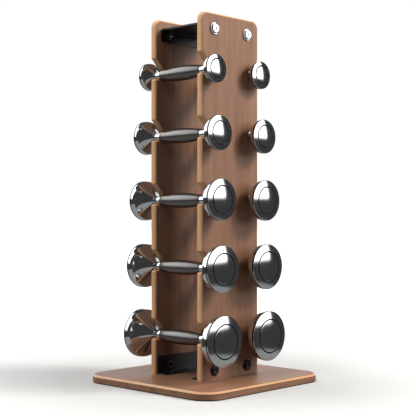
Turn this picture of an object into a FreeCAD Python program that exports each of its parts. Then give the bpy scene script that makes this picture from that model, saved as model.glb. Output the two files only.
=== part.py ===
"""Dumbbell rack: a tower of two notched boards on a square base, holding ten dumbbells.

Row frame: millimetres, +Z up, origin at the centre of the underside of the base.
X runs across the width of the boards, and the dumbbells lie along Y.
The front board is on the -Y side. Row 1 is the top row with the lightest pair.
"""
import FreeCAD, Part
import math
import os
import Sketcher

from FreeCAD import Placement, Rotation, Vector

# Driving dimensions, in millimetres.
SIZES = {
    # Base
    "base_side": 423.0,
    "base_corner_radius": 50.0,
    "base_board_height": 17.0,
    "base_chamfer": 5.5,
    "base_mat_height": 2.5,
    "base_mat_inset": 1.5,
    "veneer_thickness": 0.8,
    # Boards of the tower
    "board_width": 206.0,
    "board_height": 880.0,
    "board_thickness": 18.2,
    "board_corner_radius": 20.0,
    "board_chamfer": 4.0,
    "board_gap": 140.0,
    # Notches, measured from the axis of the neck that lies in them
    "top_row_drop": 138.4,
    "bottom_row_rise": 97.4,
    "neck_edge_distance": 21.6,
    "neck_fit_clearance": 0.3,
    "notch_lip_drop": 8.6,
    "notch_lip_radius": 6.0,
    "notch_ramp_distance": 14.5,
    "notch_throat_radius": 6.0,
    "notch_run_out": 12.0,
    # Steel brackets between the boards
    "top_bracket_side_inset": 19.5,
    "top_bracket_flange": 32.0,
    "bracket_thickness": 4.0,
    "bracket_bend_radius": 2.0,
    "bracket_corner_radius": 7.0,
    "foot_bracket_side_inset": 9.5,
    "foot_bracket_leg": 45.0,
    "foot_bracket_foot": 26.0,
    # Fasteners
    "bolt_side_inset": 44.0,
    "bolt_top_drop": 37.5,
    "bolt_foot_rise": 22.5,
    "bolt_diameter": 8.0,
    "bolt_hole_clearance": 0.5,
    "bolt_end_length": 3.0,
    "top_cap_diameter": 30.0,
    "foot_cap_diameter": 27.0,
    "cap_height": 6.8,
    "cap_step": 2.5,
    "cap_edge_radius": 1.5,
    "cap_flange_height": 3.2,
    "socket_width": 5.0,
    "socket_depth": 3.5,
    "nut_width": 13.0,
    "nut_height": 6.5,
    "washer_diameter": 18.0,
    "washer_thickness": 1.6,
    "washer_bend_clearance": 0.5,
    "screw_side_inset": 41.0,
    "screw_inset": 16.0,
    "screw_diameter": 4.5,
    "screw_length": 15.0,
    "screw_head_diameter": 9.0,
    "screw_head_height": 3.0,
    "screw_slot_width": 1.6,
    "screw_slot_depth": 1.2,
    # Dumbbells
    "grip_end_clearance": 2.5,
    "grip_mid_diameter": 36.6,
    "grip_end_step": 2.0,
    "grip_edge_radius": 1.5,
    "neck_diameter": 22.0,
    "core_diameter": 14.0,
    "bell_side_clearance": 1.0,
    "seam_bevel": 0.8,
    "band_taper": 0.04,
    "cap_shoulder_height": 2.6,
    "ring_groove_width": 1.8,
    "ring_groove_depth": 1.0,
    "core_end_cover": 8.0,
}

# One value for each row, from the top row down. The rows are spread evenly over the boards, and
# row_shift then raises the middle ones, because the heavier heads need more room.
ROW_SIZES = {
    "row_shift": (0.0, 8.35, 11.4, 9.05, 0.0),
    "head_radius": (34.2, 42.0, 50.0, 55.8, 61.0),
    "seam_reach": (26.5, 37.7, 43.8, 47.6, 52.8),
    "band_width": (9.6, 11.9, 14.2, 15.7, 17.0),
    "flare_radius": (55.0, 70.0, 80.0, 90.0, 100.0),
    "dome_rise": (3.6, 4.3, 5.1, 5.6, 6.1),
    "ring_radius": (22.8, 28.0, 33.4, 37.3, 40.8),
}
ROWS = (1, 2, 3, 4, 5)
SIDES = (("left", -1), ("right", 1))

doc = FreeCAD.newDocument("dumbbell_rack")
sheet = doc.addObject("Spreadsheet::Sheet", "sizes")
parts = []


def fill_sheet():
    """Puts every driving dimension in a cell of its own, under its name."""
    cells = dict(SIZES)
    for name, row_values in ROW_SIZES.items():
        for row, row_value in zip(ROWS, row_values):
            cells[f"{name}_row{row}"] = row_value
    for line, (name, cell_value) in enumerate(cells.items(), start=1):
        sheet.set(f"A{line}", name)
        sheet.set(f"B{line}", str(cell_value))
        sheet.setAlias(f"B{line}", name)
    doc.recompute()


def named(text):
    """Turns {name} in a formula into a reference to the cell of that name."""
    return str(text).replace("{", "sizes.").replace("}", "")


def value(text):
    """The number that a formula of cell names gives."""
    result = sheet.evalExpression(named(text))
    return float(getattr(result, "Value", result))


def bind(thing, **formulas):
    """Binds properties of an object to formulas of cell names."""
    for prop, text in formulas.items():
        thing.setExpression(prop, named(text))


def place(thing, x="0", y="0", z="0"):
    """Binds the place of an object to formulas of cell names."""
    for axis, text in zip("xyz", (x, y, z)):
        thing.setExpression(f"Placement.Base.{axis}", named(text))


def keep(thing, label):
    """Marks an object as a finished sub-part, whose label names its file."""
    thing.Label = label
    parts.append(thing)
    return thing


# --- Sketches and features ---


def new_body(name):
    return doc.addObject("PartDesign::Body", name)


def new_sketch(body, plane, name):
    """An empty sketch on one of the body's own origin planes."""
    sketch = body.newObject("Sketcher::SketchObject", name)
    origin_planes = [item for item in body.Origin.OriginFeatures if item.Role == plane]
    sketch.AttachmentSupport = (origin_planes[0], "")
    sketch.MapMode = "FlatFace"
    return sketch


def arc_centre(start, end, radius, side):
    """Centre of an arc from start to end, on the left of the chord for side 1."""
    chord = end - start
    half = chord.Length / 2
    height = math.sqrt(max(radius * radius - half * half, 0))
    normal = Vector(-chord.y, chord.x, 0).normalize()
    return (start + end) * 0.5 + normal * (side * height)


def draw_outline(sketch, corners):
    """Draws a closed outline and binds its corners and radii to the sheet.

    A corner is (x, y), reached by a line, or (x, y, radius, side), reached by an arc
    whose centre is on the left (1) or right (-1) of the chord.
    """
    points = [Vector(value(corner[0]), value(corner[1]), 0) for corner in corners]
    heads = []
    tails = []
    for index, corner in enumerate(corners):
        start = points[index - 1]
        end = points[index]
        if len(corner) == 2:
            line = sketch.addGeometry(Part.LineSegment(start, end), False)
            tails.append((line, 1))
            heads.append((line, 2))
            continue
        radius = value(corner[2])
        side = corner[3]
        centre = arc_centre(start, end, radius, side)
        first, last = (start, end) if side > 0 else (end, start)
        angle_first = math.atan2(first.y - centre.y, first.x - centre.x)
        angle_last = math.atan2(last.y - centre.y, last.x - centre.x)
        circle = Part.Circle(centre, Vector(0, 0, 1), radius)
        arc = sketch.addGeometry(Part.ArcOfCircle(circle, angle_first, angle_last), False)
        tails.append((arc, 1 if side > 0 else 2))
        heads.append((arc, 2 if side > 0 else 1))
        rule = sketch.addConstraint(Sketcher.Constraint("Radius", arc, radius))
        sketch.setExpression(f"Constraints[{rule}]", named(corner[2]))
    for index, corner in enumerate(corners):
        head = heads[index]
        tail = tails[(index + 1) % len(corners)]
        sketch.addConstraint(Sketcher.Constraint("Coincident", *head, *tail))
        for kind, text in zip(("DistanceX", "DistanceY"), corner[:2]):
            rule = sketch.addConstraint(Sketcher.Constraint(kind, -1, 1, *head, value(text)))
            sketch.setExpression(f"Constraints[{rule}]", named(text))


def draw_circle(sketch, x, y, diameter):
    """Draws a circle whose centre and diameter are bound to the sheet."""
    centre = Vector(value(x), value(y), 0)
    circle = Part.Circle(centre, Vector(0, 0, 1), value(diameter) / 2)
    index = sketch.addGeometry(circle, False)
    rules = (
        (Sketcher.Constraint("Diameter", index, value(diameter)), diameter),
        (Sketcher.Constraint("DistanceX", -1, 1, index, 3, value(x)), x),
        (Sketcher.Constraint("DistanceY", -1, 1, index, 3, value(y)), y),
    )
    for constraint, text in rules:
        rule = sketch.addConstraint(constraint)
        sketch.setExpression(f"Constraints[{rule}]", named(text))


def pad(body, sketch, length, midplane=False):
    feature = body.newObject("PartDesign::Pad", f"{body.Name}_pad")
    feature.Profile = sketch
    feature.Midplane = midplane
    bind(feature, Length=length)
    return feature


def pocket(body, sketch):
    """Cuts a sketch through the whole body, both ways from its plane."""
    feature = body.newObject("PartDesign::Pocket", f"{sketch.Name}_cut")
    feature.Profile = sketch
    feature.Type = "ThroughAll"
    feature.Midplane = True
    return feature


def revolve(body, sketch, axis="V_Axis"):
    feature = body.newObject("PartDesign::Revolution", f"{body.Name}_turned")
    feature.Profile = sketch
    feature.ReferenceAxis = (sketch, [axis])
    feature.Angle = 360
    return feature


def dress(body, kind, chosen, formula):
    """Adds a Chamfer or Fillet to the edges for which chosen(edge) is true."""
    doc.recompute()
    base = body.Tip
    names = []
    for number, edge in enumerate(base.Shape.Edges, start=1):
        if chosen(edge):
            names.append(f"Edge{number}")
    feature = body.newObject(f"PartDesign::{kind}", f"{body.Name}_{kind.lower()}")
    feature.Base = (base, names)
    if kind == "Chamfer":
        bind(feature, Size=formula)
    else:
        bind(feature, Radius=formula)
    return feature


def box(name, corner, lengths):
    """A Part box bound to the sheet: its lowest corner and its three lengths."""
    solid = doc.addObject("Part::Box", name)
    bind(solid, Length=lengths[0], Width=lengths[1], Height=lengths[2])
    place(solid, *corner)
    return solid


def common(label, first, second):
    solid = doc.addObject("Part::Common", label)
    solid.Base = first
    solid.Tool = second
    return keep(solid, label)


def cut(label, first, second):
    solid = doc.addObject("Part::Cut", label)
    solid.Base = first
    solid.Tool = second
    return solid


def group(label, master, places):
    """Copies of one master piece, each at its own placement, in one node."""
    copies = []
    for number, (x, y, z, rotation) in enumerate(places, start=1):
        copy = doc.addObject("App::Link", f"{label}_{number}")
        copy.LinkedObject = master
        copy.LinkTransform = True
        copy.LinkPlacement = Placement(Vector(value(x), value(y), value(z)), rotation)
        copies.append(copy)
    compound = doc.addObject("Part::Compound", label)
    compound.Links = copies
    return keep(compound, label)


# --- Places that several pieces share ---

BASE_TOP = "({base_mat_height} + {base_board_height} + {veneer_thickness})"
OUTER_FACE = "({board_gap} / 2 + {board_thickness})"
NECK_X = "({board_width} / 2 - {neck_edge_distance})"
NECK_RADIUS = "({neck_diameter} / 2)"
BOLT_X = "({board_width} / 2 - {bolt_side_inset})"
SCREW_X = "({board_width} / 2 - {screw_side_inset})"
SCREW_SIGNS = [(x_sign, y_sign) for y_sign in ("-1", "1") for x_sign in ("-1", "0", "1")]


def neck_rise(row):
    """Height of a row's necks above the base."""
    spacing = f"({{board_height}} - {{top_row_drop}} - {{bottom_row_rise}}) / {len(ROWS) - 1}"
    return f"({{bottom_row_rise}} + {len(ROWS) - row} * {spacing} + {{row_shift_row{row}}})"


# --- Base ---

WOOD_HEIGHT = "({base_board_height} + {veneer_thickness})"


def rounded_square(sketch, half, radius):
    """A square about the origin with rounded corners, drawn counter-clockwise."""
    flat = f"({half} - {radius})"
    corners = [(flat, f"-{half}")]
    corners.append((half, f"-{flat}", radius, 1))
    corners.append((half, flat))
    corners.append((flat, half, radius, 1))
    corners.append((f"-{flat}", half))
    corners.append((f"-{half}", flat, radius, 1))
    corners.append((f"-{half}", f"-{flat}"))
    corners.append((f"-{flat}", f"-{half}", radius, 1))
    draw_outline(sketch, corners)


def rounded_slab(name, half, radius, height, z):
    body = new_body(name)
    sketch = new_sketch(body, "XY_Plane", f"{name}_outline")
    rounded_square(sketch, half, radius)
    pad(body, sketch, height)
    place(body, z=z)
    return body


def make_base():
    """Light core board, brown veneer on its top and round its sides, and a rubber mat."""
    half = "({base_side} / 2)"
    inner_half = "({base_side} / 2 - {veneer_thickness})"
    inner_radius = "({base_corner_radius} - {veneer_thickness})"
    wood = rounded_slab("base_wood", half, "{base_corner_radius}", WOOD_HEIGHT, "{base_mat_height}")
    top_level = value(WOOD_HEIGHT)

    def on_top(edge):
        return edge.BoundBox.ZMin > top_level - 0.01

    dress(wood, "Chamfer", on_top, "{base_chamfer}")
    doc.recompute()
    pilots = new_sketch(wood, "XY_Plane", "base_pilots")
    pilots.setExpression("AttachmentOffset.Base.z", named(WOOD_HEIGHT))
    for x_sign, y_sign in SCREW_SIGNS:
        draw_circle(
            pilots, f"{x_sign} * {SCREW_X}", f"{y_sign} * ({{board_gap}} / 2 - {{screw_inset}})", "{screw_diameter}"
        )
    pilot_holes = wood.newObject("PartDesign::Pocket", "base_pilot_holes")
    pilot_holes.Profile = pilots
    bind(pilot_holes, Length="{screw_length} - {bracket_thickness}")
    core = rounded_slab(
        "base_core_space", inner_half, inner_radius, "{base_board_height}", "{base_mat_height}"
    )
    common("base_board", wood, core)
    top_corner = ("-{base_side} / 2", "-{base_side} / 2", f"{BASE_TOP} - {{veneer_thickness}}")
    top_slab = box("base_top_space", top_corner, ("{base_side}", "{base_side}", "{veneer_thickness}"))
    common("base_top_veneer", wood, top_slab)
    rim = cut("base_rim", wood, core)
    keep(cut("base_edge_band", rim, top_slab), "base_edge_band")
    mat_half = "({base_side} / 2 - {base_mat_inset})"
    mat_radius = "({base_corner_radius} - {base_mat_inset})"
    mat = rounded_slab("base_mat_body", mat_half, mat_radius, "{base_mat_height}", "0")
    keep(mat, "base_rubber_mat")


# --- Boards of the tower ---

SLOT_RADIUS = f"({NECK_RADIUS} + {{neck_fit_clearance}})"
BOARD_Y = "({board_gap} / 2 + {board_thickness} / 2)"


def draw_board_outline(sketch):
    half = "({board_width} / 2)"
    height = "{board_height}"
    radius = "{board_corner_radius}"
    corners = [(f"-{half}", "0"), (half, "0")]
    corners.append((half, f"{height} - {radius}"))
    corners.append((f"{half} - {radius}", height, radius, 1))
    corners.append((f"-{half} + {radius}", height))
    corners.append((f"-{half}", f"{height} - {radius}", radius, 1))
    draw_outline(sketch, corners)


def draw_notch(sketch, row, sign):
    """A notch: ramp down at 45 degrees, throat, round seat, and a low lip at the edge.

    Distances run outwards from the neck's axis, so one list serves both edges.
    """
    slot = SLOT_RADIUS
    drop = "{notch_lip_drop}"
    edge = "{neck_edge_distance}"
    lip = "{notch_lip_radius}"
    throat = "{notch_throat_radius}"
    ramp = "({notch_ramp_distance} * sqrt(2))"
    out = f"({edge} + {{notch_run_out}})"
    tangent = f"({throat} * tan(22.5))"
    lip_start = f"sqrt({slot} ^ 2 - {drop} ^ 2)"
    corner_up = f"({ramp} - {slot})"
    steps = [
        (out, f"({ramp} + {out})"),
        (f"(-{slot} + {tangent} / sqrt(2))", f"({corner_up} + {tangent} / sqrt(2))"),
        (f"-{slot}", f"({corner_up} - {tangent})", throat, 1),
        (f"-{slot}", "0"),
        ("0", f"-{slot}", slot, 1),
        (lip_start, f"-{drop}", slot, 1),
        (f"({edge} - {lip})", f"-{drop}"),
        (edge, f"(-{drop} - {lip})", lip, -1),
        (out, f"(-{drop} - {lip})"),
    ]
    axis_height = neck_rise(row)
    corners = []
    for step in steps:
        x = f"{sign} * ({NECK_X} + {step[0]})"
        corner = (x, f"{axis_height} + {step[1]}")
        if len(step) == 4:
            corner += (step[2], sign * step[3])
        corners.append(corner)
    draw_outline(sketch, corners)


def make_board_blank(name, y_sign):
    """The whole board with its notches, chamfers and bolt holes, before it is parted."""
    body = new_body(name)
    outline = new_sketch(body, "XZ_Plane", f"{name}_outline")
    draw_board_outline(outline)
    pad(body, outline, "{board_thickness}", midplane=True)
    for row in ROWS:
        notches = new_sketch(body, "XZ_Plane", f"{name}_notches_{row}")
        for _, sign in SIDES:
            draw_notch(notches, row, sign)
        pocket(body, notches)
    half = value("{board_thickness}") / 2

    def on_a_face(edge):
        bounds = edge.BoundBox
        flat = bounds.YLength < 0.01 and abs(abs(bounds.YMin) - half) < 0.01
        return flat and bounds.ZMax > 0.01

    dress(body, "Chamfer", on_a_face, "{board_chamfer}")
    holes = new_sketch(body, "XZ_Plane", f"{name}_holes")
    for sign in ("-1", "1"):
        for rise in ("({board_height} - {bolt_top_drop})", "{bolt_foot_rise}"):
            draw_circle(holes, f"{sign} * {BOLT_X}", rise, "{bolt_diameter} + {bolt_hole_clearance}")
    pocket(body, holes)
    place(body, y=f"{y_sign} * {BOARD_Y}", z=BASE_TOP)
    return body


def make_board(name, y_sign):
    """A light core between two brown veneers, all with the same outline."""
    blank = make_board_blank(f"{name}_blank", y_sign)
    inner = "({board_gap} / 2)"
    skin = "{veneer_thickness}"
    outer = f"({inner} + {{board_thickness}})"
    layers = (
        ("inner_veneer", inner, f"({inner} + {skin})"),
        ("core", f"({inner} + {skin})", f"({outer} - {skin})"),
        ("outer_veneer", f"({outer} - {skin})", outer),
    )
    for layer, near, far in layers:
        low = near if y_sign > 0 else f"-{far}"
        corner = ("-{board_width} / 2", low, BASE_TOP)
        lengths = ("{board_width}", f"{far} - {near}", "{board_height}")
        slab = box(f"{name}_{layer}_space", corner, lengths)
        common(f"{name}_{layer}", blank, slab)


# --- Steel brackets ---

TOP_BRACKET_WIDTH = "({board_width} - 2 * {top_bracket_side_inset})"
FOOT_BRACKET_WIDTH = "({board_width} - 2 * {foot_bracket_side_inset})"
BEND = "({bracket_thickness} + {bracket_bend_radius})"
# Height of the top bracket above its bolts, so that their washers stay clear of its bends.
TOP_BRACKET_RISE = f"({BEND} + {{washer_diameter}} / 2 + {{washer_bend_clearance}})"


def make_top_bracket():
    """Plate with two flanges turned down, bolted between the tops of the boards."""
    body = new_body("top_bracket_body")
    profile = new_sketch(body, "YZ_Plane", "top_bracket_profile")
    half = "({board_gap} / 2)"
    wall = "{bracket_thickness}"
    inside = "{bracket_bend_radius}"
    outside = BEND
    depth = "{top_bracket_flange}"
    corners = [
        (f"-{half}", f"-{depth}"),
        (f"-{half} + {wall}", f"-{depth}"),
        (f"-{half} + {wall}", f"-{outside}"),
        (f"-{half} + {outside}", f"-{wall}", inside, -1),
        (f"{half} - {outside}", f"-{wall}"),
        (f"{half} - {wall}", f"-{outside}", inside, -1),
        (f"{half} - {wall}", f"-{depth}"),
        (half, f"-{depth}"),
        (half, f"-{outside}"),
        (f"{half} - {outside}", "0", outside, 1),
        (f"-{half} + {outside}", "0"),
        (f"-{half}", f"-{outside}", outside, 1),
    ]
    draw_outline(profile, corners)
    pad(body, profile, TOP_BRACKET_WIDTH, midplane=True)
    depth_value = value("{top_bracket_flange}")
    half_width = value(TOP_BRACKET_WIDTH) / 2

    def at_lower_corner(edge):
        bounds = edge.BoundBox
        low = bounds.ZMax < 0.01 - depth_value
        at_end = abs(abs(bounds.XMin) - half_width) < 0.01
        return low and at_end and bounds.XLength < 0.01

    dress(body, "Fillet", at_lower_corner, "{bracket_corner_radius}")
    holes = new_sketch(body, "XZ_Plane", "top_bracket_holes")
    for sign in ("-1", "1"):
        drop = f"-{TOP_BRACKET_RISE}"
        draw_circle(holes, f"{sign} * {BOLT_X}", drop, "{bolt_diameter} + {bolt_hole_clearance}")
    pocket(body, holes)
    place(body, z=f"{BASE_TOP} + {{board_height}} - {{bolt_top_drop}} + {TOP_BRACKET_RISE}")
    keep(body, "top_bracket")


def make_foot_bracket(label, y_sign):
    """Angle with one leg bolted to a board and one foot screwed to the base."""
    body = new_body(f"{label}_body")
    profile = new_sketch(body, "YZ_Plane", f"{label}_profile")
    wall = "{bracket_thickness}"
    inside = "{bracket_bend_radius}"
    outside = BEND
    foot = "{foot_bracket_foot}"
    leg = "{foot_bracket_leg}"
    steps = [
        ("0", leg),
        ("0", outside),
        (outside, "0", outside, 1),
        (foot, "0"),
        (foot, wall),
        (outside, wall),
        (wall, outside, inside, -1),
        (wall, leg),
    ]
    corners = []
    for step in steps:
        corner = (f"{-y_sign} * {step[0]}", step[1])
        if len(step) == 4:
            corner += (step[2], -y_sign * step[3])
        corners.append(corner)
    draw_outline(profile, corners)
    pad(body, profile, FOOT_BRACKET_WIDTH, midplane=True)
    leg_value = value(leg)
    foot_value = value(foot)
    half_width = value(FOOT_BRACKET_WIDTH) / 2

    def at_free_corner(edge):
        bounds = edge.BoundBox
        short = bounds.XLength < 0.01 and abs(abs(bounds.XMin) - half_width) < 0.01
        at_leg_end = bounds.ZMin > leg_value - 0.01
        at_foot_end = min(abs(bounds.YMin), abs(bounds.YMax)) > foot_value - 0.01
        return short and (at_leg_end or at_foot_end)

    dress(body, "Fillet", at_free_corner, "{bracket_corner_radius} / 2")
    leg_holes = new_sketch(body, "XZ_Plane", f"{label}_leg_holes")
    foot_holes = new_sketch(body, "XY_Plane", f"{label}_foot_holes")
    for sign in ("-1", "1"):
        draw_circle(
            leg_holes, f"{sign} * {BOLT_X}", "{bolt_foot_rise}", "{bolt_diameter} + {bolt_hole_clearance}"
        )
    for sign in ("-1", "0", "1"):
        draw_circle(foot_holes, f"{sign} * {SCREW_X}", f"{-y_sign} * {{screw_inset}}", "{screw_diameter}")
    pocket(body, leg_holes)
    pocket(body, foot_holes)
    place(body, y=f"{y_sign} * {{board_gap}} / 2", z=BASE_TOP)
    keep(body, label)


# --- Fasteners ---

# Turns that point the head of a fastener, made along +Z, out to the front or rear.
FACE_FRONT = Rotation(Vector(1, 0, 0), 90)
FACE_REAR = Rotation(Vector(1, 0, 0), -90)
UPRIGHT = Rotation()
BOLT_GRIP = "({board_thickness} + {bracket_thickness})"
BOLT_REACH = f"({BOLT_GRIP} + {{washer_thickness}} + {{nut_height}} + {{bolt_end_length}})"


def hexagon(sketch, width):
    """A hexagon about the origin, given its width across flats."""
    corners = []
    for number in range(6):
        angle = 60 * number + 30
        x = f"{width} / sqrt(3) * cos({angle})"
        y = f"{width} / sqrt(3) * sin({angle})"
        corners.append((x, y))
    draw_outline(sketch, corners)


def make_cap_bolt(name, diameter):
    """Bolt with a stepped round cap and a hexagon socket. The cap seats on z = 0."""
    body = new_body(name)
    profile = new_sketch(body, "XZ_Plane", f"{name}_profile")
    cap = f"({diameter} / 2)"
    edge = "{cap_edge_radius}"
    flange = "{cap_flange_height}"
    inner = f"({cap} - {{cap_step}})"
    top = "{cap_height}"
    shank = "({bolt_diameter} / 2)"
    corners = [
        ("0", f"-{BOLT_REACH}"),
        (f"{shank} - 1", f"-{BOLT_REACH}"),
        (shank, f"-{BOLT_REACH} + 1"),
        (shank, "0"),
        (cap, "0"),
        (cap, f"{flange} - {edge}"),
        (f"{cap} - {edge}", flange, edge, 1),
        (inner, flange),
        (inner, f"{top} - 2 * {edge}"),
        (f"{inner} - 2 * {edge}", top, f"2 * {edge}", 1),
        ("0", top),
    ]
    draw_outline(profile, corners)
    revolve(body, profile)
    doc.recompute()
    socket = new_sketch(body, "XY_Plane", f"{name}_socket")
    hexagon(socket, "{socket_width}")
    socket.setExpression("AttachmentOffset.Base.z", named(top))
    recess = body.newObject("PartDesign::Pocket", f"{name}_socket_cut")
    recess.Profile = socket
    bind(recess, Length="{socket_depth}")
    return body


def make_nut():
    """Hexagon nut with chamfered corners, seated on z = 0."""
    body = new_body("nut_body")
    outline = new_sketch(body, "XY_Plane", "nut_outline")
    hexagon(outline, "{nut_width}")
    draw_circle(outline, "0", "0", "{bolt_diameter}")
    pad(body, outline, "{nut_height}")
    return body


def make_washer():
    body = new_body("washer_body")
    outline = new_sketch(body, "XY_Plane", "washer_outline")
    draw_circle(outline, "0", "0", "{washer_diameter}")
    draw_circle(outline, "0", "0", "{bolt_diameter} + {bolt_hole_clearance}")
    pad(body, outline, "{washer_thickness}")
    return body


def make_screw():
    """Round-head wood screw with a cross recess. The head seats on z = 0."""
    body = new_body("screw_body")
    profile = new_sketch(body, "XZ_Plane", "screw_profile")
    shank = "({screw_diameter} / 2)"
    head = "({screw_head_diameter} / 2)"
    top = "{screw_head_height}"
    corners = [
        ("0", "-{screw_length}"),
        (shank, "-{screw_length} + {screw_diameter}"),
        (shank, "0"),
        (head, "0"),
        (f"{head} - {top}", top, top, 1),
        ("0", top),
    ]
    draw_outline(profile, corners)
    revolve(body, profile)
    doc.recompute()
    cross = new_sketch(body, "XY_Plane", "screw_cross")
    arm = "({screw_head_diameter} / 4)"
    half = "({screw_slot_width} / 2)"
    corners = [
        (arm, f"-{half}"),
        (arm, half),
        (half, half),
        (half, arm),
        (f"-{half}", arm),
        (f"-{half}", half),
        (f"-{arm}", half),
        (f"-{arm}", f"-{half}"),
        (f"-{half}", f"-{half}"),
        (f"-{half}", f"-{arm}"),
        (half, f"-{arm}"),
        (half, f"-{half}"),
    ]
    draw_outline(cross, corners)
    cross.setExpression("AttachmentOffset.Base.z", named(top))
    recess = body.newObject("PartDesign::Pocket", "screw_cross_cut")
    recess.Profile = cross
    bind(recess, Length="{screw_slot_depth}")
    return body


def bolt_places(rise, offset):
    """Placements at the two bolts of each board, offset outwards from its outer face."""
    outer = OUTER_FACE
    places = []
    for x in (f"-{BOLT_X}", BOLT_X):
        places.append((x, f"-{outer} - {offset}", rise, FACE_FRONT))
        places.append((x, f"{outer} + {offset}", rise, FACE_REAR))
    return places


def make_fasteners():
    top_rise = f"({BASE_TOP} + {{board_height}} - {{bolt_top_drop}})"
    foot_rise = f"({BASE_TOP} + {{bolt_foot_rise}})"
    group("top_cap_bolts", make_cap_bolt("top_bolt_body", "{top_cap_diameter}"), bolt_places(top_rise, "0"))
    group("foot_cap_bolts", make_cap_bolt("foot_bolt_body", "{foot_cap_diameter}"), bolt_places(foot_rise, "0"))
    washer_inside = f"(-1 * ({BOLT_GRIP} + {{washer_thickness}}))"
    nut_inside = f"(-1 * ({BOLT_GRIP} + {{washer_thickness}} + {{nut_height}}))"
    washers = bolt_places(top_rise, washer_inside) + bolt_places(foot_rise, washer_inside)
    nuts = bolt_places(top_rise, nut_inside) + bolt_places(foot_rise, nut_inside)
    group("bolt_washers", make_washer(), washers)
    group("bolt_nuts", make_nut(), nuts)
    screw_places = []
    for x_sign, y_sign in SCREW_SIGNS:
        y = f"{y_sign} * ({{board_gap}} / 2 - {{screw_inset}})"
        screw_places.append((f"{x_sign} * {SCREW_X}", y, f"{BASE_TOP} + {{bracket_thickness}}", UPRIGHT))
    group("foot_bracket_screws", make_screw(), screw_places)


# --- Dumbbells ---

BELL_START = f"({OUTER_FACE} + {{bell_side_clearance}})"
CORE_RADIUS = "({core_diameter} / 2)"
HALF_GRIP = "({board_gap} / 2 - {grip_end_clearance})"


def turned(name, corners):
    """A piece turned about Y from its half outline, given as (radius, y)."""
    body = new_body(name)
    profile = new_sketch(body, "XY_Plane", f"{name}_profile")
    draw_outline(profile, corners)
    revolve(body, profile)
    return body


def mirrored_pair(name, master):
    """A piece at the rear end and its mirror image at the front end."""
    image = doc.addObject("Part::Mirroring", f"{name}_front")
    image.Source = master
    image.Normal = Vector(0, 1, 0)
    pair = doc.addObject("Part::Compound", name)
    pair.Links = [master, image]
    return pair


def make_rod(name, row):
    """Steel rod: a core through the grip, a thicker neck in each notch, and two spigots."""
    end = f"({OUTER_FACE} + {{seam_reach_row{row}}} - {{core_end_cover}})"
    corners = [
        ("0", f"-{end}"),
        (CORE_RADIUS, f"-{end}"),
        (CORE_RADIUS, f"-{BELL_START}"),
        (NECK_RADIUS, f"-{BELL_START}"),
        (NECK_RADIUS, f"-{HALF_GRIP}"),
        (CORE_RADIUS, f"-{HALF_GRIP}"),
        (CORE_RADIUS, HALF_GRIP),
        (NECK_RADIUS, HALF_GRIP),
        (NECK_RADIUS, BELL_START),
        (CORE_RADIUS, BELL_START),
        (CORE_RADIUS, end),
        ("0", end),
    ]
    return turned(name, corners)


def make_grip(name):
    """Leather sleeve with a barrel outline over the core of the rod."""
    half = HALF_GRIP
    edge = "{grip_edge_radius}"
    end = f"({NECK_RADIUS} + {{grip_end_step}})"
    bulge = f"({{grip_mid_diameter}} / 2 - {end})"
    chord = f"({half} - {edge})"
    barrel = f"(({chord} ^ 2 + {bulge} ^ 2) / (2 * {bulge}))"
    corners = [
        (CORE_RADIUS, f"-{half}"),
        (f"{end} - {edge}", f"-{half}"),
        (end, f"-{chord}", edge, 1),
        (end, chord, barrel, 1),
        (f"{end} - {edge}", half, edge, 1),
        (CORE_RADIUS, half),
    ]
    return turned(name, corners)


def make_bell(name, row):
    """Steel head: a trumpet flaring from the neck to a band that ends at the seam."""
    radius = f"{{head_radius_row{row}}}"
    seam = f"({OUTER_FACE} + {{seam_reach_row{row}}})"
    band_start = f"({seam} - {{band_width_row{row}}})"
    band_radius = f"({radius} * (1 - {{band_taper}}))"
    bevel = "{seam_bevel}"
    end = f"({seam} - {{core_end_cover}})"
    corners = [
        (CORE_RADIUS, end),
        (CORE_RADIUS, BELL_START),
        (NECK_RADIUS, BELL_START),
        (band_radius, band_start, f"{{flare_radius_row{row}}}", -1),
        (radius, f"{seam} - {bevel} * 4"),
        (radius, f"{seam} - {bevel}"),
        (f"{radius} - {bevel}", seam),
        ("0", seam),
        ("0", end),
    ]
    return turned(name, corners)


def make_end_cap(name, row):
    """Domed steel disc that closes the head, with an engraved ring."""
    radius = f"{{head_radius_row{row}}}"
    seam = f"({OUTER_FACE} + {{seam_reach_row{row}}})"
    bevel = "{seam_bevel}"
    shoulder = "{cap_shoulder_height}"
    edge = f"({shoulder} - {bevel})"
    flat = f"({radius} - {edge})"
    rise = f"{{dome_rise_row{row}}}"
    dome = f"(({flat} ^ 2 + {rise} ^ 2) / (2 * {rise}))"
    ring = f"{{ring_radius_row{row}}}"
    half_groove = "({ring_groove_width} / 2)"

    def height_at(distance):
        return f"({seam} + {shoulder} + {rise} - {dome} + sqrt({dome} ^ 2 - ({distance}) ^ 2))"

    corners = [
        ("0", seam),
        (f"{radius} - {bevel}", seam),
        (radius, f"{seam} + {bevel}"),
        (flat, f"{seam} + {shoulder}", edge, 1),
        (f"{ring} + {half_groove}", height_at(f"{ring} + {half_groove}"), dome, 1),
        (ring, f"{height_at(ring)} - {{ring_groove_depth}}"),
        (f"{ring} - {half_groove}", height_at(f"{ring} - {half_groove}")),
        ("0", height_at("0"), dome, 1),
    ]
    return turned(name, corners)


def make_dumbbell(side, sign, row):
    """One dumbbell, lying in its pair of notches."""
    name = f"{side}_{row}"
    rod = make_rod(f"{name}_rod", row)
    grip = make_grip(f"{name}_grip")
    bells = mirrored_pair(f"{name}_bell_pair", make_bell(f"{name}_bell", row))
    caps = mirrored_pair(f"{name}_cap_pair", make_end_cap(f"{name}_cap", row))
    pieces = (
        (rod, "handle_rod"),
        (grip, "leather_grip"),
        (bells, "weight_bells"),
        (caps, "end_caps"),
    )
    for piece, label in pieces:
        place(piece, x=f"{sign} * {NECK_X}", z=f"{BASE_TOP} + {neck_rise(row)}")
        keep(piece, f"{name}_{label}")


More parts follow.
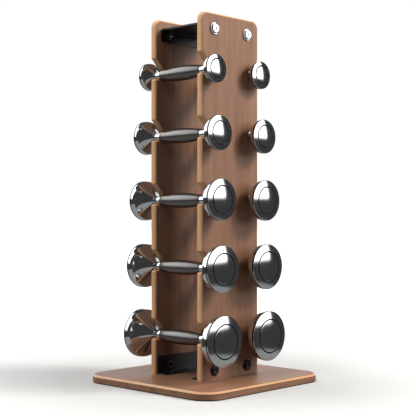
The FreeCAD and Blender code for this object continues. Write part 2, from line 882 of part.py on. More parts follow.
def check_model():
    """Stops if any object failed or any sub-part has no sound shape."""
    failed = [thing.Name for thing in doc.Objects if {"Invalid", "Error"} & set(thing.State)]
    if failed:
        raise RuntimeError(f"These failed: {failed}")
    for part in parts:
        if part.Shape.isNull() or not part.Shape.isValid():
            raise RuntimeError(f"{part.Label} has no valid shape")
        if not part.Shape.Solids:
            raise RuntimeError(f"{part.Label} has no solid")


fill_sheet()
make_base()
for board_name, board_sign in (("front_board", -1), ("rear_board", 1)):
    make_board(board_name, board_sign)
make_top_bracket()
make_foot_bracket("front_foot_bracket", -1)
make_foot_bracket("rear_foot_bracket", 1)
make_fasteners()
for side_name, side_sign in SIDES:
    for row_number in ROWS:
        make_dumbbell(side_name, side_sign, row_number)
doc.recompute()
check_model()
os.makedirs("parts", exist_ok=True)
for part in parts:
    part.Shape.exportStep(f"parts/{part.Label}.step")
print(len(parts), "sub-parts written")
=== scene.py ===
"""Dumbbell rack: looks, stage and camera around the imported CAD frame."""

import math

import bmesh
import bpy
from bpy.props import FloatProperty, FloatVectorProperty, IntProperty, PointerProperty
from bpy.types import Operator, Panel, PropertyGroup
from mathutils import Matrix, Vector


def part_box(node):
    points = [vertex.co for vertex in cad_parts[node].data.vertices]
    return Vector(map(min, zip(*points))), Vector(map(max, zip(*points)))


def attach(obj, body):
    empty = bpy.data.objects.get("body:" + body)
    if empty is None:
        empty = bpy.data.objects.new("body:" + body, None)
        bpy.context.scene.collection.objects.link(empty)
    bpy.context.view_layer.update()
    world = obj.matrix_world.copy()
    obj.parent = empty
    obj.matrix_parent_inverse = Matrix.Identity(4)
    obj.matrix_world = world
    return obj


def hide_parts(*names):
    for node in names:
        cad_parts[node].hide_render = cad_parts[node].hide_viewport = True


bl_info = {
    "name": "Dumbbell rack builder",
    "version": (1, 0, 0),
    "blender": (4, 5, 0),
    "location": "View3D > Sidebar > Rack",
    "description": "Builds the boards, steel dumbbells, leather grips and studio of a dumbbell rack",
    "category": "Object",
}

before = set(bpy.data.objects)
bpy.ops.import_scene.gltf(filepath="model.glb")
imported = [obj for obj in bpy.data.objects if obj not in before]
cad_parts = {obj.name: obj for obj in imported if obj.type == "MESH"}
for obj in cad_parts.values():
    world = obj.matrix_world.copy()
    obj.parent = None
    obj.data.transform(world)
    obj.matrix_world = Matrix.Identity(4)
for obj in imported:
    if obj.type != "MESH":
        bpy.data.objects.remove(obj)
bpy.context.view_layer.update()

MM = 0.001
ROWS = (1, 2, 3, 4, 5)
SIDES = ("left", "right")
FULL_TURN = 2 * math.pi
CRISP_ANGLE = math.radians(28)

# Sizes of the dumbbells in millimetres, as in the CAD model; lists run from the top row down.
BAND_WIDTHS = (9.6, 11.9, 14.2, 15.7, 17.0)
FLARE_RADII = (55.0, 70.0, 80.0, 90.0, 100.0)
DOME_RISES = (3.6, 4.3, 5.1, 5.6, 6.1)
RING_RADII = (22.8, 28.0, 33.4, 37.3, 40.8)
BAND_TAPER = 0.04
CAP_SHOULDER = 2.6
SEAM_BEVEL = 1.1
CORE_SHARE = 7 / 11
GRIP_END_RADIUS = 13.0
GRIP_END_ROUNDING = 1.5
NECK_CHAMFER = 0.4
GRIP_STOP_CHAMFER = 0.5
SOCKET_WIDTH = 5.0
SOCKET_DEPTH = 3.5


def linear(hex_colour):
    """An sRGB hex colour as linear red, green, blue and alpha."""
    channels = []
    for start in (1, 3, 5):
        share = int(hex_colour[start:start + 2], 16) / 255
        low = share <= 0.04045
        channels.append(share / 12.92 if low else ((share + 0.055) / 1.055) ** 2.4)
    return (*channels, 1.0)


def colour_property(name, description, hex_colour):
    return FloatVectorProperty(
        name=name, description=description, subtype="COLOR", size=4, min=0, max=1, default=linear(hex_colour)
    )


class RackSizes(PropertyGroup):
    """Sizes that a user would change."""

    turned_steps: IntProperty(name="Turned steps", description="Faces round a turned piece", default=128)
    arc_steps: IntProperty(name="Arc steps", description="Faces along a long arc", default=24)
    ring_width: FloatProperty(
        name="Ring width", description="Width of the engraved ring", default=3.4 * MM, unit="LENGTH"
    )
    ring_depth: FloatProperty(
        name="Ring depth", description="Depth of the engraved ring", default=1.0 * MM, unit="LENGTH"
    )
    stitch_pitch: FloatProperty(
        name="Stitch pitch", description="Distance between two stitches", default=5.0 * MM, unit="LENGTH"
    )
    stitch_radius: FloatProperty(
        name="Thread radius", description="Radius of the sewing thread", default=0.5 * MM, unit="LENGTH"
    )


class RackColours(PropertyGroup):
    """Colours that a user would change."""

    walnut: colour_property("Walnut", "Middle colour of the walnut veneer", "#966E53")
    walnut_dark: colour_property("Walnut streaks", "Dark grain of the walnut veneer", "#6B4937")
    light_wood: colour_property("Light wood", "Middle colour of the bare edges", "#D5A97E")
    light_wood_dark: colour_property("Light wood streaks", "Grain of the bare edges", "#B7885E")
    steel: colour_property("Steel", "Polished steel", "#C6C8CA")
    # Painted shade: the near-black colour given to the grooves, seams and bolt sockets.
    groove_shade: colour_property("Painted groove shade", "Painted shade in the grooves, seams and bolt sockets", "#0B0C0D")
    black_steel: colour_property("Black steel", "Powder coat of the brackets", "#0D0E10")
    black_chrome: colour_property("Black chrome", "Caps of the foot bolts", "#3A3C40")
    zinc: colour_property("Zinc", "Nuts, washers and screws", "#9A9C9E")
    leather: colour_property("Leather", "Dark brown leather of the grips", "#2E2320")
    thread: colour_property("Thread", "Sewing thread of the grips", "#4A3A30")
    rubber: colour_property("Rubber", "Mat under the base", "#151514")
    floor: colour_property("Floor", "Pale studio floor", "#C3C2C0")


def sizes():
    return bpy.context.scene.rack_sizes


def colours():
    return bpy.context.scene.rack_colours


# --- Meshes ---


def make_piece(name, bm, finishes, body, replaced=()):
    """Finishes a mesh as a piece: merged, facing outwards, smooth with crisp edges."""
    bmesh.ops.remove_doubles(bm, verts=bm.verts, dist=1e-6)
    bmesh.ops.recalc_face_normals(bm, faces=bm.faces)
    mesh = bpy.data.meshes.new(name)
    bm.to_mesh(mesh)
    bm.free()
    mesh.shade_smooth()
    mesh.set_sharp_from_angle(angle=CRISP_ANGLE)
    piece = bpy.data.objects.new(name, mesh)
    bpy.context.scene.collection.objects.link(piece)
    for finish in finishes:
        mesh.materials.append(material(finish))
    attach(piece, body)
    if replaced:
        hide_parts(*replaced)
    return piece


def arc(start, end, radius, side, steps):
    """Points after start up to end on an arc whose centre is left (1) or right (-1) of the chord."""
    first = Vector(start)
    last = Vector(end)
    chord = last - first
    half = chord.length / 2
    normal = Vector((-chord.y, chord.x)).normalized()
    centre = (first + last) / 2 + normal * side * math.sqrt(max(radius ** 2 - half ** 2, 0))
    sweep = 2 * math.asin(min(half / radius, 1)) * side
    spoke = first - centre
    points = []
    for step in range(1, steps + 1):
        turn = Matrix.Rotation(sweep * step / steps, 2)
        points.append(tuple(centre + turn @ spoke))
    return points


def round_corners(outline, radius, steps=3):
    """Rounds every sharp corner of an open outline of (radius, y) points by a small arc."""
    least_turn = math.radians(20)
    result = [outline[0]]
    for before, corner, after in zip(outline, outline[1:], outline[2:]):
        arm_in = Vector(before) - Vector(corner)
        arm_out = Vector(after) - Vector(corner)
        turn = math.pi - arm_in.angle(arm_out)
        cut = radius * math.tan(turn / 2)
        room = 0.45 * min(arm_in.length, arm_out.length)
        if turn < least_turn or cut > room:
            result.append(corner)
            continue
        start = Vector(corner) + arm_in.normalized() * cut
        end = Vector(corner) + arm_out.normalized() * cut
        side = 1 if arm_in.x * arm_out.y - arm_in.y * arm_out.x < 0 else -1
        result.append(tuple(start))
        result.extend(arc(start, end, radius, side, steps))
    result.append(outline[-1])
    return result


def turned(outline, x, z, mirror=False, closed=False):
    """A bmesh turned about the line through (x, z) along Y, from (radius, y) points."""
    bm = bmesh.new()
    flip = -1 if mirror else 1
    verts = [bm.verts.new((x + radius, flip * y, z)) for radius, y in outline]
    edges = [bm.edges.new(pair) for pair in zip(verts, verts[1:])]
    if closed:
        edges.append(bm.edges.new((verts[-1], verts[0])))
    bmesh.ops.spin(
        bm,
        geom=verts + edges,
        cent=(x, 0, z),
        axis=(0, 1, 0),
        angle=FULL_TURN,
        steps=sizes().turned_steps,
        use_merge=True,
    )
    return bm


def paint_groove_shade(bm, x, z, radii, levels):
    """Gives painted shade to faces whose radius and distance from the middle are in these ranges."""
    for face in bm.faces:
        centre = face.calc_center_median()
        radius = math.hypot(centre.x - x, centre.z - z)
        if radii[0] < radius < radii[1] and levels[0] < abs(centre.y) < levels[1]:
            face.material_index = 1


def join_meshes(meshes):
    """One bmesh that holds all the given ones."""
    whole = bmesh.new()
    for part in meshes:
        mesh = bpy.data.meshes.new("part")
        part.to_mesh(mesh)
        part.free()
        whole.from_mesh(mesh)
        bpy.data.meshes.remove(mesh)
    return whole


# --- Materials ---


def add_node(tree, kind, links=None, **settings):
    """Adds a shader node; links maps an input to a socket, settings give values or properties."""
    node = tree.nodes.new(kind)
    for name, setting in settings.items():
        if hasattr(node, name):
            setattr(node, name, setting)
        else:
            node.inputs[name.replace("_", " ")].default_value = setting
    for name, socket in (links or {}).items():
        tree.links.new(socket, node.inputs[name])
    return node


def new_material(name, **sockets):
    """A Principled material with its constant values set on the shader's sockets."""
    material = bpy.data.materials.new(name)
    material.use_nodes = True
    shader = material.node_tree.nodes["Principled BSDF"]
    for socket, setting in sockets.items():
        shader.inputs[socket.replace("_", " ")].default_value = setting
    return material, material.node_tree, shader


def ramp(tree, fac, stops):
    """A colour ramp from (position, colour) pairs."""
    node = add_node(tree, "ShaderNodeValToRGB", {"Fac": fac})
    elements = node.color_ramp.elements
    while len(elements) < len(stops):
        elements.new(0.5)
    for element, (position, colour) in zip(elements, stops):
        element.position = position
        element.color = colour
    return node


def grain_coordinates(tree, along):
    """Object coordinates, squeezed along the grain so that noise draws long streaks."""
    squeeze = 0.035
    place = add_node(tree, "ShaderNodeTexCoord")
    scale = [1.0, 1.0, 1.0]
    scale[along] = squeeze
    mapping = add_node(tree, "ShaderNodeMapping", {"Vector": place.outputs["Object"]}, Scale=scale)
    return mapping.outputs["Vector"]


def wood(name, light, dark, along, streak_mm, contrast, roughness):
    """Satin-lacquered wood: long streaks of two widths, and fine open pores."""
    material, tree, shader = new_material(name, Roughness=roughness, Specular_IOR_Level=0.4)
    along_grain = {"Vector": grain_coordinates(tree, along)}
    band_mm = streak_mm * 7
    pore_mm = 0.9
    broad = add_node(
        tree, "ShaderNodeTexNoise", along_grain, Scale=1000 / band_mm, Detail=3.0, Distortion=0.6
    )
    fine = add_node(
        tree, "ShaderNodeTexNoise", along_grain, Scale=1000 / streak_mm, Detail=5.0, Roughness=0.6
    )
    both = {"A": broad.outputs["Fac"], "B": fine.outputs["Fac"]}
    mixed = add_node(tree, "ShaderNodeMix", both, data_type="FLOAT", Factor=0.5)
    colour = ramp(tree, mixed.outputs["Result"], ((0.5 - contrast, dark), (0.5 + contrast, light)))
    tree.links.new(colour.outputs["Color"], shader.inputs["Base Color"])
    pores = add_node(tree, "ShaderNodeTexNoise", along_grain, Scale=1000 / pore_mm, Detail=2.0)
    bump = add_node(
        tree, "ShaderNodeBump", {"Height": pores.outputs["Fac"]}, Strength=0.12, Distance=0.15 * MM
    )
    tree.links.new(bump.outputs["Normal"], shader.inputs["Normal"])
    return material


def polished_metal(name, colour, roughness, haze_mm):
    """Metal with a faint haze of polishing marks that only varies its gloss."""
    material, tree, shader = new_material(name, Base_Color=colour, Metallic=1.0)
    place = add_node(tree, "ShaderNodeTexCoord")
    marks = add_node(
        tree, "ShaderNodeTexNoise", {"Vector": place.outputs["Object"]}, Scale=1000 / haze_mm, Detail=4.0
    )
    gloss = add_node(
        tree,
        "ShaderNodeMapRange",
        {"Value": marks.outputs["Fac"]},
        To_Min=roughness * 0.7,
        To_Max=roughness * 1.3,
    )
    tree.links.new(gloss.outputs["Result"], shader.inputs["Roughness"])
    return material


def coated(name, colour, roughness, grit_mm, bump_strength, shine=0.5):
    """A coat or rubber with a fine grit."""
    material, tree, shader = new_material(
        name, Base_Color=colour, Roughness=roughness, Specular_IOR_Level=shine
    )
    place = add_node(tree, "ShaderNodeTexCoord")
    grit = add_node(
        tree, "ShaderNodeTexNoise", {"Vector": place.outputs["Object"]}, Scale=1000 / grit_mm, Detail=3.0
    )
    bump = add_node(
        tree, "ShaderNodeBump", {"Height": grit.outputs["Fac"]}, Strength=bump_strength, Distance=0.2 * MM
    )
    tree.links.new(bump.outputs["Normal"], shader.inputs["Normal"])
    return material


def leather_material():
    """Waxed full-grain leather: dark brown, fine pebble and a broad soft shine."""
    palette = colours()
    material, tree, shader = new_material(
        "waxed_leather", Roughness=0.35, Specular_IOR_Level=0.9, Coat_Weight=1.0, Coat_Roughness=0.25
    )
    place = add_node(tree, "ShaderNodeTexCoord")
    on_object = {"Vector": place.outputs["Object"]}
    pebble_mm = 1.3
    cloud_mm = 22
    pebble = add_node(tree, "ShaderNodeTexVoronoi", on_object, Scale=1000 / pebble_mm, Randomness=1.0)
    tone = add_node(tree, "ShaderNodeTexNoise", on_object, Scale=1000 / cloud_mm, Detail=3.0)
    dark = [channel * 0.7 for channel in palette.leather[:3]] + [1.0]
    colour = ramp(tree, tone.outputs["Fac"], ((0.35, dark), (0.65, palette.leather)))
    tree.links.new(colour.outputs["Color"], shader.inputs["Base Color"])
    bump = add_node(
        tree, "ShaderNodeBump", {"Height": pebble.outputs["Distance"]}, Strength=0.1, Distance=0.2 * MM
    )
    tree.links.new(bump.outputs["Normal"], shader.inputs["Normal"])
    return material


MATERIALS = {}


def material(name):
    """Makes each material once."""
    if name in MATERIALS:
        return MATERIALS[name]
    palette = colours()
    walnut = (palette.walnut, palette.walnut_dark)
    beech = (palette.light_wood, palette.light_wood_dark)
    upright, flat = 2, 0
    makers = {
        # Sliced walnut under satin lacquer: calm brown streaks along the grain and a soft sheen.
        "walnut_upright": lambda: wood("walnut_veneer_upright", *walnut, upright, 2.6, 0.2, 0.42),
        "walnut_flat": lambda: wood("walnut_veneer_flat", *walnut, flat, 2.6, 0.2, 0.42),
        # Milled light wood, lacquered but bare of veneer: a pale honey line round every board.
        "beech_upright": lambda: wood("beech_edge_upright", *beech, upright, 1.8, 0.3, 0.5),
        "beech_flat": lambda: wood("beech_edge_flat", *beech, flat, 1.8, 0.3, 0.5),
        # Turned steel, buffed to a mirror: sharp reflections with a faint haze.
        "steel": lambda: polished_metal("mirror_polished_steel", palette.steel, 0.09, 12),
        # Painted shade in the grooves, at the seams and inside the bolt sockets: a thin dark line without
        # shine.
        "groove_shade": lambda: coated("painted_groove_shade", palette.groove_shade, 0.7, 1.0, 0.1, 0.15),
        # Plated bolts: clear chrome above, dark chrome at the foot.
        "chrome": lambda: polished_metal("polished_chrome", palette.steel, 0.06, 8),
        "black_chrome": lambda: polished_metal("black_chrome", palette.black_chrome, 0.12, 8),
        # Plain zinc plating: dull grey with a blurred shine.
        "zinc": lambda: polished_metal("zinc_plated_steel", palette.zinc, 0.3, 3),
        # Powder coat on sheet steel: black with a low sheen and a fine grit.
        "black_steel": lambda: coated("black_powder_coat", palette.black_steel, 0.4, 0.8, 0.1),
        # Moulded rubber mat: flat black.
        "rubber": lambda: coated("matt_black_rubber", palette.rubber, 0.8, 1.2, 0.2),
        "leather": leather_material,
        # Waxed thread, a shade lighter than the leather so that the seam shows.
        "thread": lambda: coated("waxed_sewing_thread", palette.thread, 0.6, 0.4, 0.2),
    }
    MATERIALS[name] = makers[name]()
    return MATERIALS[name]


def paint(material_name, *nodes):
    """Gives CAD nodes a material by assigning to their slots."""
    for node in nodes:
        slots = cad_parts[node].material_slots
        for place in slots:
            place.material = material(material_name)


# --- Operators ---


class RACK_OT_base(Operator):
    """Gives the base its veneers, bare chamfer and rubber mat"""

    bl_idname = "rack.base"
    bl_label = "Base"

    def execute(self, context):
        paint("beech_flat", "base_board")
        paint("walnut_flat", "base_top_veneer", "base_edge_band")
        paint("rubber", "base_rubber_mat")
        return {"FINISHED"}


class RACK_OT_boards(Operator):
    """Gives the two boards their light cores and walnut faces"""

    bl_idname = "rack.boards"
    bl_label = "Boards"

    def execute(self, context):
        for board in ("front_board", "rear_board"):
            paint("beech_upright", f"{board}_core")
            paint("walnut_upright", f"{board}_inner_veneer", f"{board}_outer_veneer")
        return {"FINISHED"}


class RACK_OT_hardware(Operator):
    """Finishes the brackets, bolts, nuts, washers and screws"""

    bl_idname = "rack.hardware"
    bl_label = "Hardware"

    def execute(self, context):
        paint("black_steel", "top_bracket", "front_foot_bracket", "rear_foot_bracket")
        paint("chrome", "top_cap_bolts")
        paint("black_chrome", "foot_cap_bolts")
        paint("zinc", "bolt_nuts", "bolt_washers", "foot_bracket_screws")
        self.line_sockets("top_cap_bolts", "top_bolt_socket_shade")
        self.line_sockets("foot_cap_bolts", "foot_bolt_socket_shade")
        return {"FINISHED"}

    def line_sockets(self, node, name):
        """Lines the hexagon sockets of four bolts with black cups of painted shade."""
        low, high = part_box(node)
        cap = (high.z - low.z) / 2
        bm = bmesh.new()
        for x in (low.x + cap, high.x - cap):
            for face, y in ((-1, low.y), (1, high.y)):
                self.add_cup(bm, (x, y, low.z + cap), face)
        # Painted shade: black cups stand in for the shade inside the sockets.
        make_piece(name, bm, ("groove_shade",), "rack")

    def add_cup(self, bm, mouth, face):
        """A thin hexagonal cup that opens outwards at the mouth of a socket."""
        corner_gap = 0.02 * MM
        floor_gap = 0.05 * MM
        rim_gap = 0.2 * MM
        wall = 0.15 * MM
        corner_radius = SOCKET_WIDTH * MM / math.sqrt(3) - corner_gap
        reach = SOCKET_DEPTH * MM - floor_gap
        depth = reach - rim_gap
        bottom = Vector(mouth) - Vector((0, face * reach, 0))
        upright = Matrix.Rotation(-face * math.pi / 2, 4, "X")
        place = Matrix.Translation(bottom) @ upright
        bmesh.ops.create_circle(bm, cap_ends=True, segments=6, radius=corner_radius, matrix=place)
        floor = bm.faces[:][-1]
        outwards = Vector((0, face * depth, 0))
        top = bmesh.ops.extrude_face_region(bm, geom=[floor], use_keep_orig=True)["geom"]
        lid = [item for item in top if isinstance(item, bmesh.types.BMFace)]
        bmesh.ops.translate(bm, verts=lid[0].verts[:], vec=outwards)
        bmesh.ops.inset_region(bm, faces=lid, thickness=wall)
        inner = bmesh.ops.extrude_discrete_faces(bm, faces=lid)["faces"]
        bmesh.ops.translate(bm, verts=inner[0].verts[:], vec=outwards * (wall / depth - 1))


def axis_of(node):
    """X and Z of the line that a turned CAD node lies on."""
    low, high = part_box(node)
    return (low.x + high.x) / 2, (low.z + high.z) / 2


def bell_outline(name, row):
    """Half outline of a bell: bore, neck end, trumpet, band and seam."""
    rod_low, rod_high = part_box(f"{name}_handle_rod")
    low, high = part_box(f"{name}_weight_bells")
    neck = (rod_high.x - rod_low.x) / 2
    radius = (high.z - low.z) / 2
    seam = high.y
    start = bell_start()
    bevel = SEAM_BEVEL * MM
    chamfer = NECK_CHAMFER * MM
    band = seam - BAND_WIDTHS[row - 1] * MM
    flare = FLARE_RADII[row - 1] * MM
    band_arc = 3.2 * (seam - band)
    outline = [(neck - chamfer, start), (neck, start + chamfer)]
    trumpet_end = (radius * (1 - BAND_TAPER), band)
    outline += arc(outline[-1], trumpet_end, flare, -1, sizes().arc_steps)
    outline += arc(trumpet_end, (radius, seam - 4 * bevel), band_arc, 1, 6)
    outline += [(radius, seam - 2 * bevel), (radius - 1.5 * bevel, seam), (0, seam)]
    return [(0, start)] + outline


def bell_start():
    """Where the trumpet starts, just outside the outer face of the board."""
    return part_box("rear_board_outer_veneer")[1].y + 1.0 * MM


class RACK_OT_heads(Operator):
    """Turns the steel heads of the dumbbells: bells, end caps and rods"""

    bl_idname = "rack.heads"
    bl_label = "Steel heads"

    def execute(self, context):
        for side in SIDES:
            for row in ROWS:
                self.make_bells(f"{side}_{row}", row)
                self.make_caps(f"{side}_{row}", row)
                self.make_rod(f"{side}_{row}")
        return {"FINISHED"}

    def make_bells(self, name, row):
        """The two trumpet-shaped heads, with painted shade in the groove where each meets its cap."""
        x, z = axis_of(f"{name}_weight_bells")
        outline = round_corners(bell_outline(name, row), 0.3 * MM)
        low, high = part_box(f"{name}_weight_bells")
        radius = (high.z - low.z) / 2
        bevel = SEAM_BEVEL * MM
        groove_radii = (radius - 3 * bevel, radius)
        groove_levels = (high.y - 1.95 * bevel, high.y - 0.05 * bevel)
        meshes = [turned(outline, x, z), turned(outline, x, z, mirror=True)]
        # Painted shade: the faces of the groove at the seam take the near-black groove colour.
        for bm in meshes:
            paint_groove_shade(bm, x, z, groove_radii, groove_levels)
        pair = join_meshes(meshes)
        make_piece(
            f"{name}_polished_bells", pair, ("steel", "groove_shade"), f"dumbbell_{name}",
            (f"{name}_weight_bells",),
        )

    def make_caps(self, name, row):
        """The two domed end caps, each with an engraved ring; the ring and the edge at the seam get painted
        shade.
        """
        x, z = axis_of(f"{name}_end_caps")
        low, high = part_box(f"{name}_end_caps")
        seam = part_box(f"{name}_weight_bells")[1].y
        radius = (high.z - low.z) / 2
        bevel = SEAM_BEVEL * MM
        shoulder = CAP_SHOULDER * MM
        edge = shoulder - bevel
        flat = radius - edge
        rise = DOME_RISES[row - 1] * MM
        dome = (flat ** 2 + rise ** 2) / (2 * rise)
        ring = RING_RADII[row - 1] * MM
        half_groove = sizes().ring_width / 2
        depth = sizes().ring_depth

        def height(distance):
            return seam + shoulder + rise - dome + math.sqrt(dome ** 2 - distance ** 2)

        steps = sizes().arc_steps
        outline = [(0, seam), (radius - bevel, seam), (radius, seam + bevel)]
        outline += arc(outline[-1], (flat, seam + shoulder), edge, 1, 8)
        outer = ring + half_groove
        inner = ring - half_groove
        outline += arc(outline[-1], (outer, height(outer)), dome, 1, steps)
        half_floor = half_groove * 0.4
        groove_floor = height(ring) - depth
        outline += [(ring + half_floor, groove_floor), (ring - half_floor, groove_floor)]
        outline.append((inner, height(inner)))
        outline += arc(outline[-1], (0, height(0)), dome, 1, steps)
        outline = round_corners(outline, 0.2 * MM)
        ring_levels = (seam + 0.5 * shoulder, height(ring) - 0.1 * depth)
        edge_radii = (radius - 2 * bevel, radius)
        edge_levels = (seam, seam + 0.98 * bevel)
        meshes = [turned(outline, x, z), turned(outline, x, z, mirror=True)]
        # Painted shade: the ring groove and the edge at the seam take the near-black groove colour.
        for bm in meshes:
            paint_groove_shade(bm, x, z, (inner, outer), ring_levels)
            paint_groove_shade(bm, x, z, edge_radii, edge_levels)
        pair = join_meshes(meshes)
        make_piece(
            f"{name}_domed_caps", pair, ("steel", "groove_shade"), f"dumbbell_{name}",
            (f"{name}_end_caps",),
        )

    def make_rod(self, name):
        """A rod with a thicker neck in each notch and a thin core under the leather."""
        x, z = axis_of(f"{name}_handle_rod")
        low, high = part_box(f"{name}_handle_rod")
        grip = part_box(f"{name}_leather_grip")[1].y
        neck = (high.x - low.x) / 2
        core = neck * CORE_SHARE
        chamfer = NECK_CHAMFER * MM
        stop = GRIP_STOP_CHAMFER * MM
        start = bell_start()
        half = [(0, high.y), (core, high.y), (core, start)]
        half += [(neck - chamfer, start), (neck, start - chamfer)]
        half += [(neck, grip + stop), (neck - stop, grip), (core, grip)]
        outline = half + [(radius, -y) for radius, y in reversed(half)]
        make_piece(
            f"{name}_polished_rod", turned(outline, x, z), ("steel",), f"dumbbell_{name}",
            (f"{name}_handle_rod",),
        )


class RACK_OT_grips(Operator):
    """Makes the barrel-shaped leather grips with their sewn seam"""

    bl_idname = "rack.grips"
    bl_label = "Leather grips"

    def execute(self, context):
        for side in SIDES:
            for row in ROWS:
                self.make_grip(f"{side}_{row}")
        return {"FINISHED"}

    def make_grip(self, name):
        """A leather barrel, thickest in the middle, with rounded ends and its stitches."""
        x, z = axis_of(f"{name}_leather_grip")
        low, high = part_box(f"{name}_leather_grip")
        rod_low, rod_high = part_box(f"{name}_handle_rod")
        neck = (rod_high.x - rod_low.x) / 2
        core = neck * CORE_SHARE
        half = high.y
        middle = (high.z - low.z) / 2
        end = GRIP_END_RADIUS * MM
        edge = GRIP_END_ROUNDING * MM
        bulge = middle - end
        chord = half - edge
        barrel = (chord ** 2 + bulge ** 2) / (2 * bulge)
        outline = [(core, -half), (end - edge, -half)]
        outline += arc(outline[-1], (end, -chord), edge, 1, 5)
        outline += arc(outline[-1], (end, chord), barrel, 1, 2 * sizes().arc_steps)
        outline += arc(outline[-1], (end - edge, half), edge, 1, 5)
        outline.append((core, half))
        make_piece(
            f"{name}_sewn_leather", turned(outline, x, z, closed=True), ("leather",), f"dumbbell_{name}",
            (f"{name}_leather_grip",),
        )
        make_piece(
            f"{name}_grip_stitches", self.stitches(x, z, chord, end, barrel), ("thread",), f"dumbbell_{name}",
        )

    def stitches(self, x, z, chord, end, barrel):
        """A zigzag of thread along the underside, where the edges of the leather meet."""
        bm = bmesh.new()
        pitch = sizes().stitch_pitch
        thread = sizes().stitch_radius
        half_stitch = 0.62 * pitch
        tilt = math.radians(38)
        bare_end = 4 * MM
        count = int(2 * (chord - bare_end) / pitch)
        for number in range(count + 1):
            y = (number - count / 2) * pitch
            radius = end - barrel + math.sqrt(barrel ** 2 - y ** 2) + self.rise(chord, barrel)
            slant = tilt if number % 2 else -tilt
            place = Matrix.Translation((x, y, z - radius)) @ Matrix.Rotation(slant, 4, "Z")
            size = Matrix.Diagonal((half_stitch, thread, thread, 1))
            bmesh.ops.create_uvsphere(bm, u_segments=8, v_segments=6, radius=1, matrix=place @ size)
        return bm

    def rise(self, chord, barrel):
        """How far the middle of the barrel outline stands above its ends."""
        return barrel - math.sqrt(barrel ** 2 - chord ** 2)


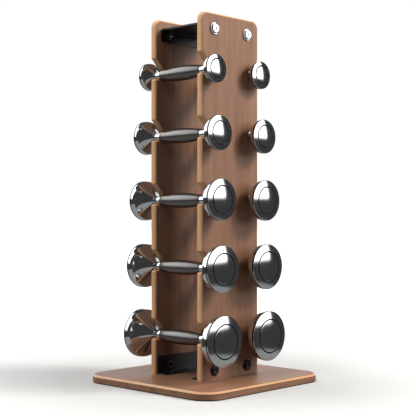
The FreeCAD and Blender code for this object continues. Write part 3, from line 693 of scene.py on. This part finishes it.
class RACK_OT_stage(Operator):
    """Sets up the pale floor, the soft studio light and the camera"""

    bl_idname = "rack.stage"
    bl_label = "Stage"

    def execute(self, context):
        self.make_floor()
        self.make_backdrop()
        self.make_world()
        self.make_lights()
        self.make_camera()
        context.scene.view_settings.view_transform = "Standard"
        return {"FINISHED"}

    def make_floor(self):
        """A pale floor that holds a soft shadow near the rack and, further off, glows with painted light that
        brings it up to white.
        """
        bm = bmesh.new()
        bmesh.ops.create_circle(bm, cap_ends=True, segments=64, radius=30)
        floor_material, tree, shader = new_material(
            "pale_floor", Base_Color=colours().floor, Roughness=0.9, Specular_IOR_Level=0.1
        )
        shader.inputs["Emission Color"].default_value = (1, 1, 1, 1)
        place = add_node(tree, "ShaderNodeTexCoord")
        on_floor = {"Vector": place.outputs["Object"]}
        reach = add_node(tree, "ShaderNodeVectorMath", on_floor, operation="LENGTH")
        distance = {"Value": reach.outputs["Value"]}
        # Painted light: the floor glows from nothing at 0.35 m from the middle up to 0.9 at 1.6 m and beyond.
        glow = add_node(tree, "ShaderNodeMapRange", distance, From_Min=0.35, From_Max=1.6, To_Max=0.9)
        tree.links.new(glow.outputs["Result"], shader.inputs["Emission Strength"])
        floor = self.add_stage("floor", bm, floor_material)
        floor.visible_glossy = False
        floor.visible_diffuse = False

    def make_backdrop(self):
        """A white dome that only the camera sees."""
        bm = bmesh.new()
        bmesh.ops.create_icosphere(bm, subdivisions=4, radius=35)
        white, tree, shader = new_material("white_backdrop", Base_Color=(0, 0, 0, 1))
        shader.inputs["Emission Color"].default_value = (1, 1, 1, 1)
        shader.inputs["Emission Strength"].default_value = 1.0
        dome = self.add_stage("backdrop", bm, white)
        dome.visible_diffuse = False
        dome.visible_glossy = False
        dome.visible_shadow = False
        dome.visible_transmission = False

    def add_stage(self, name, bm, stage_material):
        """Makes one piece of the stage, which isn't part of the rack."""
        mesh = bpy.data.meshes.new(name)
        bm.to_mesh(mesh)
        bm.free()
        mesh.materials.append(stage_material)
        thing = bpy.data.objects.new(name, mesh)
        bpy.context.scene.collection.objects.link(thing)
        return thing

    def make_world(self):
        """A dark studio with large soft boxes, placed by compass direction and height."""
        world = bpy.data.worlds.new("studio")
        bpy.context.scene.world = world
        world.use_nodes = True
        tree = world.node_tree
        place = add_node(tree, "ShaderNodeTexCoord")
        split = add_node(tree, "ShaderNodeSeparateXYZ", {"Vector": place.outputs["Generated"]})
        forward = add_node(tree, "ShaderNodeMath", {0: split.outputs["Y"]}, operation="MULTIPLY")
        forward.inputs[1].default_value = -1
        compass = add_node(
            tree, "ShaderNodeMath", {0: split.outputs["X"], 1: forward.outputs[0]}, operation="ARCTAN2"
        )
        height = add_node(tree, "ShaderNodeMath", {0: split.outputs["Z"]}, operation="ARCSINE")
        total = None
        # Left, right, low and high edge of each soft box in degrees, and its strength. A box that
        # crosses the compass seam is listed on both sides of it.
        boxes = (
            (8, 51, 3, 48, 3.8),
            (-190, -120, 8, 52, 3.0),
            (168, 190, 8, 52, 3.0),
            (-190, 190, 72, 91, 1.2),
            (104, 163, 1, 30, 1.0),
        )
        for left, right, low, high, strength in boxes:
            mask = self.box_mask(tree, compass.outputs[0], height.outputs[0], left, right, low, high)
            light = add_node(tree, "ShaderNodeMath", {0: mask}, operation="MULTIPLY")
            light.inputs[1].default_value = strength
            if total is None:
                total = light.outputs[0]
                continue
            added = add_node(tree, "ShaderNodeMath", {0: total, 1: light.outputs[0]}, operation="ADD")
            total = added.outputs[0]
        ground = add_node(
            tree,
            "ShaderNodeMapRange",
            {"Value": height.outputs[0]},
            From_Min=math.radians(-17),
            From_Max=math.radians(-14.5),
            To_Min=0.4,
            To_Max=0.06,
        )
        lit = add_node(tree, "ShaderNodeMath", {0: total, 1: ground.outputs["Result"]}, operation="ADD")
        background = tree.nodes["Background"]
        background.inputs["Color"].default_value = (1, 1, 1, 1)
        tree.links.new(lit.outputs[0], background.inputs["Strength"])

    def box_mask(self, tree, compass, height, left, right, low, high):
        """One inside a soft box and zero outside it, with a narrow soft edge."""
        product = None
        soft = math.radians(2.5)
        for socket, edge, rising in (
            (compass, left, True), (compass, right, False), (height, low, True), (height, high, False)
        ):
            angle = math.radians(edge)
            step = add_node(
                tree,
                "ShaderNodeMapRange",
                {"Value": socket},
                interpolation_type="SMOOTHSTEP",
                From_Min=angle - soft,
                From_Max=angle + soft,
                To_Min=0.0 if rising else 1.0,
                To_Max=1.0 if rising else 0.0,
            )
            if product is None:
                product = step.outputs["Result"]
                continue
            factors = {0: product, 1: step.outputs["Result"]}
            product = add_node(tree, "ShaderNodeMath", factors, operation="MULTIPLY").outputs[0]
        return product

    def make_lights(self):
        """Three square lamps that cast the soft shadows."""
        # Name, place, target, size in metres and power in watts.
        lights = (
            ("front_key", (1.3, -1.7, 2.1), (0.0, 0.0, 0.6), 0.7, 60),
            ("left_fill", (-1.9, -0.3, 2.5), (0.0, 0.0, 0.4), 1.0, 42),
            ("top_light", (0.0, 0.0, 2.8), (0.0, 0.0, 0.0), 2.0, 5),
        )
        for name, position, target, size, power in lights:
            data = bpy.data.lights.new(name, "AREA")
            data.shape = "SQUARE"
            data.size = size
            data.energy = power
            lamp = bpy.data.objects.new(name, data)
            lamp.location = position
            aim = Vector(target) - Vector(position)
            lamp.rotation_euler = aim.to_track_quat("-Z", "Y").to_euler()
            lamp.visible_camera = False
            lamp.visible_glossy = False
            bpy.context.scene.collection.objects.link(lamp)

    def make_camera(self):
        """A long lens at the height of the middle rows, looking at the front left corner."""
        data = bpy.data.cameras.new("camera")
        data.sensor_width = 36
        data.lens = 87.19
        data.shift_y = 0.0202
        camera = bpy.data.objects.new("camera", data)
        camera.location = (-1.8262, -1.7363, 0.4119)
        camera.rotation_euler = (math.radians(90), 0, -math.radians(46.64))
        bpy.context.scene.collection.objects.link(camera)
        bpy.context.scene.camera = camera


class RACK_PT_panel(Panel):
    """Lists the steps that build the rack"""

    bl_label = "Dumbbell rack"
    bl_idname = "RACK_PT_panel"
    bl_space_type = "VIEW_3D"
    bl_region_type = "UI"
    bl_category = "Rack"

    def draw(self, context):
        for operator in OPERATORS:
            self.layout.operator(operator.bl_idname)
        for group in (context.scene.rack_sizes, context.scene.rack_colours):
            for name in group.__annotations__:
                self.layout.prop(group, name)


OPERATORS = (RACK_OT_base, RACK_OT_boards, RACK_OT_hardware, RACK_OT_heads, RACK_OT_grips, RACK_OT_stage)
CLASSES = (RackSizes, RackColours, *OPERATORS, RACK_PT_panel)


def register():
    for item in CLASSES:
        bpy.utils.register_class(item)
    bpy.types.Scene.rack_sizes = PointerProperty(type=RackSizes)
    bpy.types.Scene.rack_colours = PointerProperty(type=RackColours)


def unregister():
    del bpy.types.Scene.rack_colours
    del bpy.types.Scene.rack_sizes
    for item in reversed(CLASSES):
        bpy.utils.unregister_class(item)


def main():
    """Builds the rack step by step."""
    register()
    bpy.ops.rack.base()
    bpy.ops.rack.boards()
    bpy.ops.rack.hardware()
    bpy.ops.rack.heads()
    bpy.ops.rack.grips()
    bpy.ops.rack.stage()


if __name__ == "__main__":
    main()
